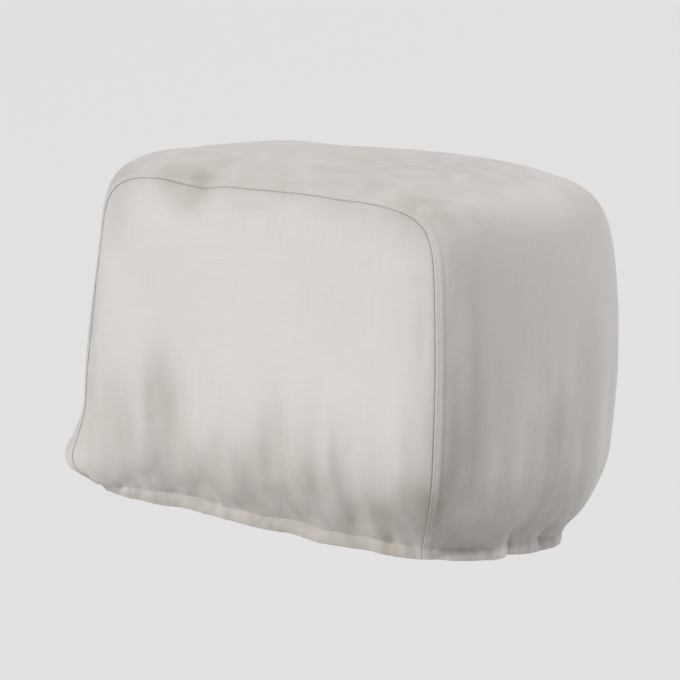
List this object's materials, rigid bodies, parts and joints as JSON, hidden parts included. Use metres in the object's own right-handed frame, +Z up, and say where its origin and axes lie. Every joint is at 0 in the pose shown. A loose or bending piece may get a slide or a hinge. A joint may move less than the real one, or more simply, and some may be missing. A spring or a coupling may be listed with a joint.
{
  "type": "outboard motor cover",
  "caption": "Light grey cloth hood for an outboard motor's powerhead: a centre band between side panels with rounded corners, a gathered hem, hollow and open below.",
  "frame": {"origin": "on the inside of the top, in its middle, where the motor's top carries the cloth", "axes": "+X aft, away from the boat, along the hood's length; +Y starboard, across it; +Z up"},
  "size_m": [0.6713, 0.4193, 0.4884],
  "materials": {
    "cloth": "matt woven cover cloth"
  },
  "bodies": {
    "root": {"centre_band": "cloth", "side_panel_port": "cloth", "side_panel_starboard": "cloth"}
  },
  "joints": []
}
